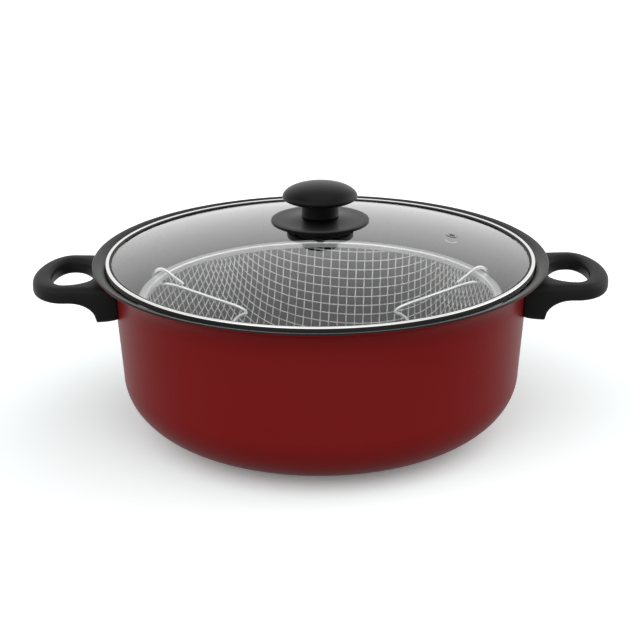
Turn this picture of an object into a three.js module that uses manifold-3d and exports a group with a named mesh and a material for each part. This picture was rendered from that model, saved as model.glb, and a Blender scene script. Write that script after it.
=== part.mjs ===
// Deep frying pot with a glass lid and a wire basket that stands inside it.
// Millimetres, +Z up. The origin is the middle of the pot's flat base, +X points to the right handle.

import * as THREE from 'three';
import Module from 'manifold-3d';
import { mergeVertices } from 'three/addons/utils/BufferGeometryUtils.js';
import { ParametricGeometry } from 'three/addons/geometries/ParametricGeometry.js';

const wasm = await Module();
wasm.setup();

// Shared values
const clearance = 0.3; // gap between pieces that touch or nest
const overrun = 2; // how far a cutting tool reaches past what it cuts
const weld = 0.0003; // corners closer than this are one corner
const ringSegments = 48; // facets round the pot, the lid and the basket
const knobSegments = 32;
const screwSegments = 16;
const quarter = Math.PI / 2;

// Pot
const potHeight = 119.6;
const potWall = 1.6;
const wallTopRadius = 138.8; // outside of the wall where the flare starts
const wallLean = 4.3; // the wall draws in this much from the flare to the rounded corner
const cornerReach = 58.1; // from the wall's foot in to the flat base
const cornerHeight = 42.6;
const flareReach = 14.2; // from the wall's top out to the rim
const flareHeight = 20;

// Side handles: a loop round a finger hole, with a deep lug at the pot
const webThickness = 13.6; // from the wall to the finger hole
const holeInnerReach = 17.6; // from the web to the hole's widest place
const holeOuterReach = 10.6; // from there to the grip
const gripWidth = 13.4;
const handleHalfWidth = 39;
const armWidth = 12;
const lugInside = 12; // how far the lug's outline would run into the wall if it weren't cut there
const gripTop = 8.8; // below the pot's rim
const gripDepth = 11.3;
const tipDroop = 2;
const lugDepth = 25.7;
const lugReach = 9.6; // flat bottom of the lug, out from the wall
const lugSweep = 18.4; // length of the hollow curve from the lug to the grip
const loopSteps = 40;
const sectionSteps = 12;

// Welded bracket, washer and screw of a side handle
const screwDrop = 20; // below the pot's rim
const bracketPlate = 1.5;
const bracketWidth = 26;
const bracketHeight = 16;
const bossRadius = 4.5;
const screwRadius = 2.5;
const screwHeadRadius = 4.75;
const screwHeadHeight = 2.8;
const screwThread = 6.5; // how far the shank reaches into the boss
const washerRadius = 5;
const washerThickness = 1;
const headSink = 0.6; // how far the head lies below the face of the web
const headRimShare = 0.6; // straight part of a screw head's height
const headCrownShare = 0.7; // radius of the head's flat top

// Lid
const bandSeatShare = 0.57; // place of the band's edge on the flare, from the rim inwards
const bandSheet = 0.5;
const bandTopLip = 2.4;
const bandBottomLip = 4;
const glassThickness = 2.8;
const glassMargin = 4.4; // flat edge of the glass
const domeRise = 20;
const domeSteps = 7;
const ventInset = 50; // from the edge of the dome
const ventAngle = 4 * Math.PI / 180;
const ventHole = 2; // radius of the bore
const ventTube = 3; // outer radius of the eyelet's tube
const ventFlange = 4.2;
const ventSheet = 0.7;

// Knob
const skirtRadius = 32.8;
const skirtEdge = 1.8;
const skirtDish = 2.6; // the disc rises this much from its edge to the neck
const edgeRiseShare = 0.25; // part of the dish that the disc's edge already has
const hubRadius = 22.5;
const hubHeight = 4;
const sealRadius = 14;
const sealThickness = 1.2;
const neckRadius = 12.6;
const neckHeight = 10;
const capRadius = 25.1;
const capUnder = 3.4; // height of the curve from the neck to the widest place
const capCrown = 9.2; // height from the widest place to the top
const capUnderSteps = 4;
const capCrownSteps = 7;
const insertRadius = 4.5;
const insertLength = 9;
const insertSink = 1.5;
const knobWasherRadius = 8;
const knobWasherThickness = 1.2;

// Basket
const basketDrop = 26; // top of the basket's rim below the pot's rim
const basketGap = 13.7; // between the basket's rim and the pot's wall
const rimBandWidth = 6;
const rimBandHeight = 4;
const rimSheet = 0.8;
const meshThickness = 1.8;
const meshLean = 16.5; // the mesh draws in this much from the rim to its rounded corner
const meshCornerReach = 32;
const meshCornerHeight = 30;
const meshCornerSteps = 12;
const slotRoom = 0.9; // round the wire where it passes through the mesh
const netPitch = 31; // between the main wires, before the flat net is drawn into a bowl
const netBar = 1.8; // width of a main wire
const netLayer = 0.3; // the wires of one family lie this much further out than those that they cross
const netTurn = -10 * Math.PI / 180;
const netSides = 4; // a square net repeats itself this many times round the bowl
const netEaseShare = 0.85; // part of the way that the drawn net's wires turn towards even openings
const netStep = 14; // of a main wire where the bowl bends

// Folding wire handles of the basket
const bailHalfWidth = 45;
const bailWire = 1.2; // radius of the wire
const hookRadius = 5.5; // middle line of the wire round the rim
const hookFinger = 15.5; // free end of the hook, inside the basket
const hookFingerSlope = 40 * Math.PI / 180;
const legStart = 7; // from the rim to the bend where the leg starts to fall
const legFall = 20.3 * Math.PI / 180;
const legLength = 56;
const bailCorner = 7;
const gripHollow = 9; // the end of the bail bows back towards the rim
const bailSides = 6;
const bailSteps = 100;
const hookSteps = 8;
const fingerShares = [1, 0.6, 0.25]; // points of the hook's free end, from its tip
const bendShare = 0.6; // place of the bend before the leg falls
const legShares = [0.08, 0.35, 0.65, 1]; // points of the leg, from the bend to the corner
const gripShares = [1, 0.75, 0.5, 0.25]; // points of half the end, from the corner to its middle

// Colours and finishes
const finish = (color, roughness, metalness, more = {}) =>
  new THREE.MeshStandardMaterial({ color, roughness, metalness, ...more });
const redEnamel = finish(0x6e1216, 0.35, 0.1);
const blackMoulding = finish(0x1b1b1c, 0.5, 0);
const stainless = finish(0xc9cbcc, 0.25, 1);
const brightWire = finish(0xd4d5d4, 0.3, 1);
const brass = finish(0xb08d48, 0.35, 1);
const silicone = finish(0x2b2b2b, 0.6, 0);
const lidGlass = finish(0xdfe6e4, 0.05, 0, { transparent: true, opacity: 0.35 });

// Solids: a closed geometry becomes a manifold and back
function solidOf(geometry) {
  const bare = geometry.clone();
  bare.deleteAttribute('normal');
  bare.deleteAttribute('uv');
  const merged = mergeVertices(bare, weld);
  const corners = [];
  const index = merged.index.array;
  for (let i = 0; i < index.length; i += 3) {
    const [a, b, c] = [index[i], index[i + 1], index[i + 2]];
    if (a !== b && b !== c && c !== a) {
      corners.push(a, b, c);
    }
  }
  return new wasm.Manifold(new wasm.Mesh({
    numProp: 3,
    vertProperties: new Float32Array(merged.attributes.position.array),
    triVerts: new Uint32Array(corners),
  }));
}

function geometryOf(solid) {
  const mesh = solid.getMesh();
  const geometry = new THREE.BufferGeometry();
  geometry.setAttribute('position', new THREE.BufferAttribute(mesh.vertProperties, 3));
  geometry.setIndex(new THREE.BufferAttribute(mesh.triVerts, 1));
  return geometry;
}

function cut(geometry, ...tools) {
  return geometryOf(tools.reduce((solid, tool) => solid.subtract(solidOf(tool)), solidOf(geometry)));
}

const point = (radius, height) => new THREE.Vector2(radius, height);

// Points on an ellipse in the plane of radius and height
function ellipseArc(radius, height, reach, rise, from, to, steps) {
  return Array.from({ length: steps + 1 }, (_, i) => {
    const angle = from + (to - from) * i / steps;
    return point(radius + reach * Math.cos(angle), height + rise * Math.sin(angle));
  });
}

// A solid of revolution about Z from a profile that closes on the axis or on itself
function turned(profile, segments) {
  return new THREE.LatheGeometry(profile, segments).rotateX(quarter);
}

// A ring or tube about Z whose section is the closed loop of points given
function ringOf(loop, segments) {
  return turned([...loop, loop[0].clone()], segments);
}

function rectangleRing(inner, outer, bottom, top, segments) {
  return ringOf([point(inner, bottom), point(outer, bottom), point(outer, top), point(inner, top)], segments);
}

function disc(radius, bottom, top, segments) {
  return turned([point(0, bottom), point(radius, bottom), point(radius, top), point(0, top)], segments);
}

function block(lowX, highX, lowY, highY, lowZ, highZ) {
  const box = new THREE.BoxGeometry(highX - lowX, highY - lowY, highZ - lowZ);
  return box.translate((lowX + highX) / 2, (lowY + highY) / 2, (lowZ + highZ) / 2);
}

function named(name, geometry, material) {
  const mesh = new THREE.Mesh(geometry, material);
  mesh.name = name;
  return mesh;
}

// Pot: the flare is a quarter of an ellipse, seen as a hollow curve from outside
const rimRadius = wallTopRadius + flareReach;
const wallFootRadius = wallTopRadius - wallLean;
const baseRadius = wallFootRadius - cornerReach;
const flareStart = potHeight - potWall - flareHeight;
const flareSteps = 6;
const cornerSteps = 7;

function potOutside() {
  return [
    point(0, 0),
    ...ellipseArc(baseRadius, cornerHeight, cornerReach, cornerHeight, -quarter, 0, cornerSteps),
    ...ellipseArc(rimRadius, flareStart, flareReach, flareHeight, Math.PI, quarter, flareSteps),
  ];
}

function potBody() {
  const inside = [
    ...ellipseArc(rimRadius, flareStart, flareReach + potWall, flareHeight + potWall,
      quarter, Math.PI, flareSteps),
    ...ellipseArc(baseRadius, cornerHeight, cornerReach - potWall, cornerHeight - potWall,
      0, -quarter, cornerSteps),
    point(0, potWall),
  ];
  return turned([...potOutside(), ...inside], ringSegments);
}

// Outer radius of the pot at a height on the straight wall or the flare
function potRadiusAt(height) {
  if (height > flareStart) {
    const rise = Math.min((height - flareStart) / flareHeight, 1);
    return rimRadius - flareReach * Math.sqrt(1 - rise * rise);
  }
  const share = (height - cornerHeight) / (flareStart - cornerHeight);
  return wallFootRadius + (wallTopRadius - wallFootRadius) * Math.max(share, 0);
}

// Height of the flare's inner surface at a radius, where the lid sits
function seatHeightAt(radius) {
  const share = (rimRadius - radius) / (flareReach + potWall);
  return flareStart + (flareHeight + potWall) * Math.sqrt(1 - share * share);
}

// The wall grown outwards by a gap, to fit pieces against the pot
function potEnvelope(gap) {
  const wall = potOutside().map((p) => point(p.x === 0 ? 0 : p.x + gap, p.y));
  const lip = wall[wall.length - 1];
  return turned([...wall, point(lip.x, potHeight), point(0, potHeight)], ringSegments);
}

// Side handle: closed tube of rounded sections round the finger hole
const screwHeight = potHeight - screwDrop;
const wallAtScrew = potRadiusAt(screwHeight);
const gripCentre = wallTopRadius + webThickness + holeInnerReach;
const handleReach = gripCentre + holeOuterReach + gripWidth;
const holeHalfWidth = handleHalfWidth - armWidth;
const lugOutline = webThickness + holeInnerReach + lugInside;
const lugSquareness = 7;
const sectionSquareness = 2.8;

function outlineRadius(cosine, sine, reach, width, squareness) {
  const along = (Math.abs(cosine) / reach) ** squareness;
  const across = (Math.abs(sine) / width) ** squareness;
  return (along + across) ** (-1 / squareness);
}

const rounded = (value, squareness) => Math.sign(value) * Math.abs(value) ** (2 / squareness);

function handlePoint(aroundHole, aroundSection, target) {
  const turn = aroundHole * 2 * Math.PI;
  const [cosine, sine] = [Math.cos(turn), Math.sin(turn)];
  const outwards = cosine > 0;
  const hole = outlineRadius(cosine, sine, outwards ? holeOuterReach : holeInnerReach, holeHalfWidth, 2);
  const outer = outwards
    ? outlineRadius(cosine, sine, handleReach - gripCentre, handleHalfWidth, 2)
    : outlineRadius(cosine, sine, lugOutline, handleHalfWidth, lugSquareness);
  const section = aroundSection * 2 * Math.PI;
  const across = rounded(Math.cos(section), sectionSquareness);
  const up = rounded(Math.sin(section), sectionSquareness);
  const distance = (hole + outer) / 2 + (outer - hole) / 2 * across;
  const side = distance * sine;
  let reach = gripCentre + distance * cosine;
  const beyond = Math.max(reach - gripCentre, 0) / (handleReach - gripCentre);
  const top = potHeight - gripTop - tipDroop * beyond * beyond;
  const lugEnd = wallTopRadius + lugReach;
  const sweep = Math.min(Math.max((lugEnd + lugSweep - reach) / lugSweep, 0), 1);
  const bottom = top - gripDepth - (lugDepth - gripDepth) * (1 - Math.sqrt(1 - sweep * sweep));
  const height = (top + bottom) / 2 + (top - bottom) / 2 * up;
  const wall = potRadiusAt(height) + clearance;
  if (Math.hypot(reach, side) < wall && reach < gripCentre) {
    reach = Math.sqrt(wall * wall - side * side);
  }
  target.set(reach, side, height);
}

// Place of the screw's pieces along the handle, out from the pot's axis
const webFace = gripCentre - holeInnerReach;
const headSeat = webFace - headSink - screwHeadHeight;
const washerSeat = headSeat - washerThickness - clearance;
const bossEnd = washerSeat - clearance;

// A cylinder or tube along +X at the screw's height
function alongScrew(geometry) {
  return geometry.rotateY(quarter).translate(0, 0, screwHeight);
}

function handleBracket() {
  const plateBox = block(0, handleReach, -bracketWidth / 2, bracketWidth / 2,
    screwHeight - bracketHeight / 2, screwHeight + bracketHeight / 2);
  const plate = solidOf(plateBox)
    .intersect(solidOf(potEnvelope(clearance + bracketPlate)))
    .subtract(solidOf(potEnvelope(clearance)));
  const boss = solidOf(alongScrew(disc(bossRadius, wallAtScrew, bossEnd, screwSegments)))
    .subtract(solidOf(potEnvelope(clearance + bracketPlate / 2)));
  const bore = alongScrew(disc(screwRadius + clearance, wallAtScrew + clearance + bracketPlate,
    bossEnd + overrun, screwSegments));
  return geometryOf(plate.add(boss).subtract(solidOf(bore)));
}

function sideHandle() {
  const loop = new ParametricGeometry(handlePoint, loopSteps, sectionSteps);
  const room = bracketWidth / 2 + clearance;
  const roomHeight = bracketHeight / 2 + clearance;
  const pocket = geometryOf(solidOf(block(0, handleReach, -room, room,
    screwHeight - roomHeight, screwHeight + roomHeight))
    .intersect(solidOf(potEnvelope(bracketPlate + 2 * clearance))));
  const bossHole = alongScrew(disc(bossRadius + clearance, wallAtScrew, bossEnd + clearance, screwSegments));
  const shankHole = alongScrew(disc(screwRadius + clearance, wallAtScrew, gripCentre, screwSegments));
  const headHole = alongScrew(disc(washerRadius + clearance, washerSeat, webFace + overrun, screwSegments));
  return cut(loop, pocket, bossHole, shankHole, headHole);
}

function handleWasher() {
  return alongScrew(rectangleRing(screwRadius + clearance, washerRadius,
    washerSeat + clearance, headSeat, screwSegments));
}

function handleScrew() {
  const underHead = headSeat + clearance;
  const tip = bossEnd - screwThread;
  return alongScrew(turned([
    point(0, tip),
    point(screwRadius, tip),
    point(screwRadius, underHead),
    point(screwHeadRadius, underHead),
    point(screwHeadRadius, underHead + screwHeadHeight * headRimShare),
    point(screwHeadRadius * headCrownShare, underHead + screwHeadHeight),
    point(0, underHead + screwHeadHeight),
  ], screwSegments));
}

function handleGroup(side, turn) {
  const group = new THREE.Group();
  group.add(
    named(`handle_bracket_${side}`, handleBracket(), stainless),
    named(`side_handle_${side}`, sideHandle(), blackMoulding),
    named(`handle_washer_${side}`, handleWasher(), stainless),
    named(`handle_screw_${side}`, handleScrew(), stainless),
  );
  group.rotation.z = turn;
  return group;
}

// Lid: the band's lower edge sits in the flare, and the glass lies inside the band
const bandRadius = rimRadius - (flareReach + potWall) * bandSeatShare;
const bandBottom = seatHeightAt(bandRadius) + clearance;
const glassBottom = bandBottom + bandSheet + clearance;
const glassTop = glassBottom + glassThickness;
const bandTop = glassTop + clearance + bandSheet;
const glassRadius = bandRadius - bandSheet - clearance;
const domeRadius = glassRadius - glassMargin;
const domeSphere = (domeRadius ** 2 + domeRise ** 2) / (2 * domeRise);
const glassCrown = glassTop + domeRise;
const knobHole = screwRadius + 2 * clearance;
const ventPlace = domeRadius - ventInset;

const domeHeightAt = (radius) =>
  glassTop + domeRise - domeSphere + Math.sqrt(domeSphere ** 2 - Math.min(radius, domeRadius) ** 2);

function lidGlassShape() {
  const dome = Array.from({ length: domeSteps + 1 }, (_, i) => {
    const radius = knobHole + (domeRadius - knobHole) * i / domeSteps;
    return point(radius, domeHeightAt(radius));
  });
  const under = dome.map((p) => point(p.x, p.y - glassThickness));
  const edge = [point(glassRadius, glassBottom), point(glassRadius, glassTop)];
  const shell = ringOf([...under, ...edge, ...dome.reverse()], ringSegments);
  const hole = ventPlaced(disc(ventTube + clearance, -glassThickness - overrun, overrun, screwSegments));
  return cut(shell, hole);
}

// Stands a piece made about Z on the dome at the vent, square to the glass
function ventPlaced(geometry) {
  return geometry
    .rotateY(Math.asin(ventPlace / domeSphere))
    .translate(ventPlace, 0, domeHeightAt(ventPlace))
    .rotateZ(ventAngle);
}

function lidBand() {
  const inner = bandRadius - bandSheet;
  return ringOf([
    point(bandRadius - bandBottomLip, bandBottom),
    point(bandRadius, bandBottom),
    point(bandRadius, bandTop),
    point(bandRadius - bandTopLip, bandTop),
    point(bandRadius - bandTopLip, bandTop - bandSheet),
    point(inner, bandTop - bandSheet),
    point(inner, bandBottom + bandSheet),
    point(bandRadius - bandBottomLip, bandBottom + bandSheet),
  ], ringSegments);
}

function ventEyelet() {
  const above = clearance + ventSheet;
  const below = -glassThickness - clearance;
  return ventPlaced(ringOf([
    point(ventHole, below - ventSheet),
    point(ventFlange, below - ventSheet),
    point(ventFlange, below),
    point(ventTube, below),
    point(ventTube, clearance),
    point(ventFlange, clearance),
    point(ventFlange, above),
    point(ventHole, above),
  ], screwSegments));
}

// Knob pieces stand on the crown of the glass
const hubBottom = glassCrown + clearance;
const sealTop = hubBottom + sealThickness;
const skirtBottom = hubBottom + hubHeight;
const skirtTop = skirtBottom + skirtEdge;
const neckBottom = skirtTop + skirtDish + clearance;
const capWidest = neckBottom + neckHeight + capUnder;
const underGlass = glassCrown - glassThickness;
const lowerSealBottom = underGlass - clearance - sealThickness;
const knobWasherTop = lowerSealBottom - clearance;
const knobHeadTop = knobWasherTop - knobWasherThickness - clearance;
const insertBottom = neckBottom + insertSink;

function knobSkirt() {
  const bore = screwRadius + clearance;
  const recess = sealRadius + clearance;
  const edgeRise = skirtDish * edgeRiseShare;
  return ringOf([
    point(bore, sealTop + clearance),
    point(recess, sealTop + clearance),
    point(recess, hubBottom),
    point(hubRadius, hubBottom),
    point(hubRadius, skirtBottom),
    point(skirtRadius, skirtBottom + edgeRise),
    point(skirtRadius, skirtBottom + edgeRise + skirtEdge / 2),
    point((skirtRadius + neckRadius) / 2, skirtTop + edgeRise),
    point(neckRadius + skirtDish, skirtTop + skirtDish / 2),
    point(neckRadius, neckBottom - clearance),
    point(bore, neckBottom - clearance),
  ], knobSegments);
}

function lidKnob() {
  const pocket = insertRadius + clearance;
  const pocketTop = insertBottom + insertLength + clearance;
  const profile = [
    point(0, pocketTop),
    point(pocket, pocketTop),
    point(pocket, insertBottom - clearance),
    point(screwRadius + clearance, insertBottom - clearance),
    point(screwRadius + clearance, neckBottom),
    point(neckRadius, neckBottom),
    point(neckRadius, neckBottom + neckHeight),
    ...ellipseArc(neckRadius, capWidest, capRadius - neckRadius, capUnder, -quarter, 0, capUnderSteps),
    ...ellipseArc(0, capWidest, capRadius, capCrown, 0, quarter, capCrownSteps).slice(1),
  ];
  return turned(profile, knobSegments);
}

function knobInsert() {
  return rectangleRing(screwRadius + clearance, insertRadius, insertBottom, insertBottom + insertLength,
    screwSegments);
}

function knobSeal(bottom) {
  return rectangleRing(screwRadius + clearance, sealRadius, bottom, bottom + sealThickness, screwSegments);
}

function knobWasher() {
  return rectangleRing(screwRadius + clearance, knobWasherRadius,
    knobWasherTop - knobWasherThickness, knobWasherTop, screwSegments);
}

function knobScrew() {
  const headBottom = knobHeadTop - screwHeadHeight;
  const tip = insertBottom + insertLength - clearance;
  return turned([
    point(0, headBottom),
    point(screwHeadRadius * headCrownShare, headBottom),
    point(screwHeadRadius, knobHeadTop - screwHeadHeight * headRimShare),
    point(screwHeadRadius, knobHeadTop),
    point(screwRadius, knobHeadTop),
    point(screwRadius, tip),
    point(0, tip),
  ], screwSegments);
}

// Basket: the net bowl stands on the pot's floor, and its edge ends inside the rim channel
const basketRadius = wallTopRadius - potWall - basketGap;
const meshFootRadius = basketRadius - meshLean; // outside of the mesh above its rounded corner
const meshFloorRadius = meshFootRadius - meshCornerReach;
const basketTop = potHeight - basketDrop;
const rimBottom = basketTop - rimBandHeight;
const rimMiddle = basketRadius - rimBandWidth / 2;
const meshTop = basketTop - rimSheet - clearance;
const meshTopRadius = rimMiddle + meshThickness / 2;
const meshFloor = potWall + clearance;
const hookX = Math.sqrt(rimMiddle ** 2 - bailHalfWidth ** 2);
const hookZ = basketTop - rimBandHeight / 2;

// Middle line of the bowl from its middle to its edge, and how far along the line each point lies
const bowlFloor = meshFloor + meshThickness / 2;
const bowlRise = meshCornerHeight - meshThickness / 2;
const bowlLine = [
  point(0, bowlFloor),
  ...ellipseArc(meshFloorRadius, bowlFloor + bowlRise, meshFootRadius - meshThickness / 2 - meshFloorRadius,
    bowlRise, -quarter, 0, meshCornerSteps),
  point(rimMiddle, rimBottom),
  point(rimMiddle, meshTop - meshThickness / 2),
];
const bowlDistances = bowlLine.reduce((distances, p, i) =>
  [...distances, i === 0 ? 0 : distances[i - 1] + p.distanceTo(bowlLine[i - 1])], []);
const bowlReach = bowlDistances[bowlDistances.length - 1];

// Index of the stretch of the line that holds a distance
function bowlStretch(distance) {
  const end = bowlDistances.findIndex((reached) => reached >= distance);
  return Math.max(end === -1 ? bowlLine.length - 1 : end, 1) - 1;
}

// Where a point (u, v) of the flat net comes to lie in the bowl, and the direction out of the bowl there.
// It keeps its distance from the middle, and between the net's two directions its turn is eased, which
// keeps the drawn openings even.
function drawn(u, v) {
  const distance = Math.hypot(u, v);
  const i = bowlStretch(distance);
  const share = (distance - bowlDistances[i]) / (bowlDistances[i + 1] - bowlDistances[i]);
  const p = bowlLine[i].clone().lerp(bowlLine[i + 1], share);
  const slope = bowlLine[i + 1].clone().sub(bowlLine[i]).normalize();
  const flatTurn = Math.atan2(v, u);
  const spread = distance > meshFloorRadius ? distance / p.x - 1 : 0;
  const turn = netTurn + flatTurn + netEaseShare * spread * Math.sin(netSides * flatTurn) / netSides;
  return {
    place: new THREE.Vector3(p.x * Math.cos(turn), p.x * Math.sin(turn), p.y),
    out: new THREE.Vector3(slope.y * Math.cos(turn), slope.y * Math.sin(turn), -slope.x),
  };
}

// Places along a wire of the flat net: its ends, the edges of the flat floor, and steps between these
function wireStations(offset) {
  const half = Math.sqrt(bowlReach ** 2 - offset ** 2);
  const flat = Math.sqrt(Math.max(meshFloorRadius ** 2 - offset ** 2, 0));
  const steps = Math.ceil((half - flat) / netStep);
  const outer = Array.from({ length: steps }, (_, i) => half + (flat - half) * i / steps);
  const middle = flat > 0 ? [flat, -flat] : [0];
  return [...outer, ...middle, ...outer.toReversed().map((v) => -v)];
}

// A main wire as a bar of four sides that lies in the bowl. The bars that cross it lie a little further out.
function mainWire(offset, crossing) {
  const along = wireStations(offset).map((v) => (crossing ? drawn(v, offset) : drawn(offset, v)));
  const layer = crossing ? netLayer / 2 : -netLayer / 2;
  const thickness = meshThickness - netLayer;
  const corners = [[-1, -1], [1, -1], [1, 1], [-1, 1]];
  const places = along.flatMap(({ place, out }, i) => {
    const before = along[Math.max(i - 1, 0)].place;
    const after = along[Math.min(i + 1, along.length - 1)].place;
    const side = after.clone().sub(before).cross(out).normalize();
    return corners.flatMap(([up, aside]) => place.clone()
      .addScaledVector(out, layer + up * thickness / 2)
      .addScaledVector(side, aside * netBar / 2)
      .toArray());
  });
  const sides = corners.length;
  const last = (along.length - 1) * sides;
  const index = [0, 3, 2, 0, 2, 1, last, last + 1, last + 2, last, last + 2, last + 3];
  for (let ring = 0; ring < last; ring += sides) {
    for (let i = 0; i < sides; i += 1) {
      const next = (i + 1) % sides;
      const [a, b, c, d] = [ring + i, ring + next, ring + sides + next, ring + sides + i];
      index.push(a, b, c, a, c, d);
    }
  }
  const bar = new THREE.BufferGeometry();
  bar.setAttribute('position', new THREE.Float32BufferAttribute(places, 3));
  bar.setIndex(index);
  return bar;
}

// The net as its main wires, which end in a hoop inside the rim channel
function basketMesh() {
  const count = Math.floor(bowlReach / netPitch);
  const offsets = Array.from({ length: 2 * count + 1 }, (_, i) => (i - count) * netPitch);
  const wires = [false, true].flatMap((crossing) => offsets.map((offset) => mainWire(offset, crossing)));
  const hoop = rectangleRing(meshTopRadius - meshThickness, meshTopRadius, rimBottom, meshTop, ringSegments);
  const net = geometryOf(wasm.Manifold.union([hoop, ...wires].map(solidOf)));
  const nearest = hookRadius - bailWire - slotRoom;
  const furthest = hookRadius + bailWire + slotRoom;
  const halfSlot = bailWire + slotRoom;
  const slots = [-1, 1].flatMap((end) => [-1, 1].map((side) => {
    const middle = side * bailHalfWidth;
    const near = end * (hookX - furthest);
    const far = end * (hookX + furthest);
    return block(Math.min(near, far), Math.max(near, far), middle - halfSlot, middle + halfSlot,
      hookZ - furthest, hookZ - nearest);
  }));
  return cut(net, ...slots);
}

function basketRim() {
  const inner = basketRadius - rimBandWidth;
  return ringOf([
    point(inner, rimBottom),
    point(inner + rimSheet, rimBottom),
    point(inner + rimSheet, basketTop - rimSheet),
    point(basketRadius - rimSheet, basketTop - rimSheet),
    point(basketRadius - rimSheet, rimBottom),
    point(basketRadius, rimBottom),
    point(basketRadius, basketTop - rimSheet / 2),
    point(basketRadius - rimSheet / 2, basketTop),
    point(inner + rimSheet / 2, basketTop),
    point(inner, basketTop - rimSheet / 2),
  ], ringSegments);
}

// Route of a bail's wire. The bail lies along +X from the rim, which is at the origin of the route.
function bailRoute() {
  const along = (x, y, z) => new THREE.Vector3(x, y, z);
  const hookEnd = [Math.cos(quarter - hookFingerSlope), Math.sin(quarter - hookFingerSlope)];
  const side = fingerShares.map((share) => along(
    hookRadius * hookEnd[0] + share * hookFinger * hookEnd[1],
    bailHalfWidth,
    hookRadius * hookEnd[1] - share * hookFinger * hookEnd[0],
  ));
  const hookStart = quarter - hookFingerSlope;
  for (let i = 0; i <= hookSteps; i += 1) {
    const angle = hookStart + (3 * quarter - hookStart) * i / hookSteps;
    side.push(along(hookRadius * Math.cos(angle), bailHalfWidth, hookRadius * Math.sin(angle)));
  }
  const fallen = (distance, y) => along(
    legStart + distance * Math.cos(legFall),
    y,
    -hookRadius - distance * Math.sin(legFall),
  );
  side.push(along(legStart * bendShare, bailHalfWidth, -hookRadius));
  side.push(...legShares.map((share) => fallen((legLength - bailCorner) * share, bailHalfWidth)));
  const cornerMiddle = bailCorner * (1 - Math.SQRT1_2);
  side.push(fallen(legLength - cornerMiddle, bailHalfWidth - cornerMiddle));
  side.push(...gripShares.map((share) =>
    fallen(legLength - gripHollow * (1 - share * share), (bailHalfWidth - bailCorner) * share)));
  const middle = fallen(legLength - gripHollow, 0);
  const mirrored = side.map((p) => along(p.x, -p.y, p.z)).reverse();
  return new THREE.CatmullRomCurve3([...side, middle, ...mirrored], false, 'centripetal');
}

function bail() {
  const section = new THREE.Shape(Array.from({ length: bailSides }, (_, i) => {
    const angle = 2 * Math.PI * i / bailSides;
    return point(bailWire * Math.cos(angle), bailWire * Math.sin(angle));
  }));
  return new THREE.ExtrudeGeometry(section, {
    extrudePath: bailRoute(),
    steps: bailSteps,
    curveSegments: 1,
    bevelEnabled: false,
  });
}

function bailMesh(side, turn) {
  const mesh = named(`bail_${side}`, bail(), brightWire);
  const group = new THREE.Group();
  mesh.position.set(-hookX, 0, hookZ);
  group.add(mesh);
  group.rotation.z = turn;
  return group;
}

const lid = new THREE.Group();
lid.add(
  named('lid_glass', lidGlassShape(), lidGlass),
  named('lid_band', lidBand(), stainless),
  named('vent_eyelet', ventEyelet(), stainless),
  named('lid_knob', lidKnob(), blackMoulding),
  named('knob_skirt', knobSkirt(), blackMoulding),
  named('knob_insert', knobInsert(), brass),
  named('knob_seal_upper', knobSeal(hubBottom), silicone),
  named('knob_seal_lower', knobSeal(lowerSealBottom), silicone),
  named('knob_washer', knobWasher(), stainless),
  named('knob_screw', knobScrew(), stainless),
);

const basket = new THREE.Group();
basket.add(
  named('basket_mesh', basketMesh(), brightWire),
  named('basket_rim', basketRim(), stainless),
  bailMesh('left', 0),
  bailMesh('right', Math.PI),
);

const pot = new THREE.Group();
pot.add(
  named('pot_body', potBody(), redEnamel),
  handleGroup('left', Math.PI),
  handleGroup('right', 0),
  basket,
  lid,
);

export default pot;
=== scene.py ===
"""Deep frying pot with a glass lid and a wire basket: its finished surfaces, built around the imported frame.

Lengths are in millimetres and become metres when a mesh is made. Z is up, the origin is the middle of the
pot's base, and +X points to the right side handle. A profile is an array of (radius, height) rows.
"""
import math

import bmesh
import bpy
import numpy as np
from mathutils import Matrix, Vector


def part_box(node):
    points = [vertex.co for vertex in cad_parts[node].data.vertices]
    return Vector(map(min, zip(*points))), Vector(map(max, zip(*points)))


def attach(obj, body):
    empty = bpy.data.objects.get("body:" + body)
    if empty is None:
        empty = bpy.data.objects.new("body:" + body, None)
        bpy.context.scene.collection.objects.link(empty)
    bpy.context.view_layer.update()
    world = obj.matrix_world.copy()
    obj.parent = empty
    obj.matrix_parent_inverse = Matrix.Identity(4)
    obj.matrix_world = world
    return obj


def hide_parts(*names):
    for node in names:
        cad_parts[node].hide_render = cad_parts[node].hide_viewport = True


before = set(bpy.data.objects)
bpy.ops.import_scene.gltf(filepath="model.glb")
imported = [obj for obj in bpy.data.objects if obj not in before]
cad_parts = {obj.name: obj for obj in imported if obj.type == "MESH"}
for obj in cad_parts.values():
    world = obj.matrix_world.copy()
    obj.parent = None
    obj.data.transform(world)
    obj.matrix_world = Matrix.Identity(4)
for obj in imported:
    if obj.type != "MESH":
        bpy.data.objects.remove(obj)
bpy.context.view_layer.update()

MM = 0.001
QUARTER = math.pi / 2
SIDES = {"left": -1, "right": 1}

# Sizes shared with the frame
CLEARANCE = 0.3
POT_WALL = 1.6
WALL_TOP_RADIUS = 138.8
WALL_FOOT_RADIUS = 134.5
BASE_RADIUS = 76.4
CORNER_HEIGHT = 42.6
FLARE_HEIGHT = 20.0
BASE_RECESS = 0.6
BASE_RECESS_RADIUS = 60.0

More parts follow.
